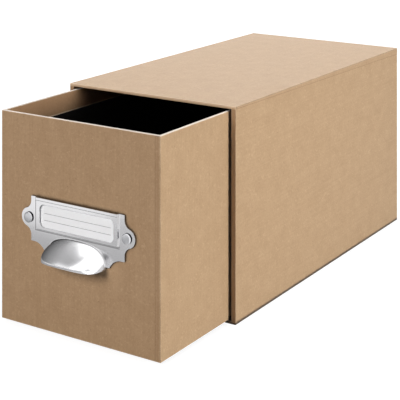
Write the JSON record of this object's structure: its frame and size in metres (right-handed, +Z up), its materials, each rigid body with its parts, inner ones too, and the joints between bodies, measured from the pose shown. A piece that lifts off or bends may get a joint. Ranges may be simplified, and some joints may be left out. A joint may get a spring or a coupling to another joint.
{
  "type": "slide box with drawer",
  "caption": "Paper-covered board slide box for disc cases: a deep drawer with a steel label holder and cup pull slides in an open-fronted sleeve, standing partly open.",
  "frame": {"origin": "middle of the sleeve's underside", "axes": "+X to the right as seen from the front, -Y towards the front (the drawer pulls out along -Y), +Z up"},
  "size_m": [0.1502, 0.3805, 0.1545],
  "materials": {
    "grey_board": "matt",
    "kraft_paper": "matt, uncoated",
    "black_paper": "matt, uncoated",
    "satin_steel": "satin",
    "rivet_steel": "satin",
    "white_card": "smooth matt"
  },
  "bodies": {
    "case": {"case_top_board": "grey_board", "case_bottom_board": "grey_board", "case_left_outer_board": "grey_board", "case_left_inner_board": "grey_board", "case_right_outer_board": "grey_board", "case_right_inner_board": "grey_board", "case_back_board": "grey_board", "case_cover_paper": "kraft_paper", "case_base_paper": "kraft_paper", "case_back_paper": "kraft_paper", "case_wall_lining": "black_paper", "case_floor_lining": "black_paper"},
    "drawer": {"drawer_front_board": "grey_board", "drawer_back_board": "grey_board", "drawer_left_board": "grey_board", "drawer_right_board": "grey_board", "drawer_bottom_board": "grey_board", "drawer_cover_paper": "kraft_paper", "drawer_base_paper": "kraft_paper", "drawer_wall_lining": "black_paper", "drawer_floor_lining": "black_paper", "label_holder": "satin_steel", "left_rivet": "rivet_steel", "right_rivet": "rivet_steel", "left_rivet_washer": "rivet_steel", "right_rivet_washer": "rivet_steel"},
    "label_card": {"label_card": "white_card"}
  },
  "joints": [
    {"name": "drawer_slide", "type": "slide", "parent": "case", "child": "drawer", "axis": [0, -1, 0], "range_m": [-0.0843, 0.1677]},
    {"name": "label_card_slide", "type": "slide", "parent": "drawer", "child": "label_card", "axis": [0, 0, 1], "range_m": [0, 0.017]}
  ]
}
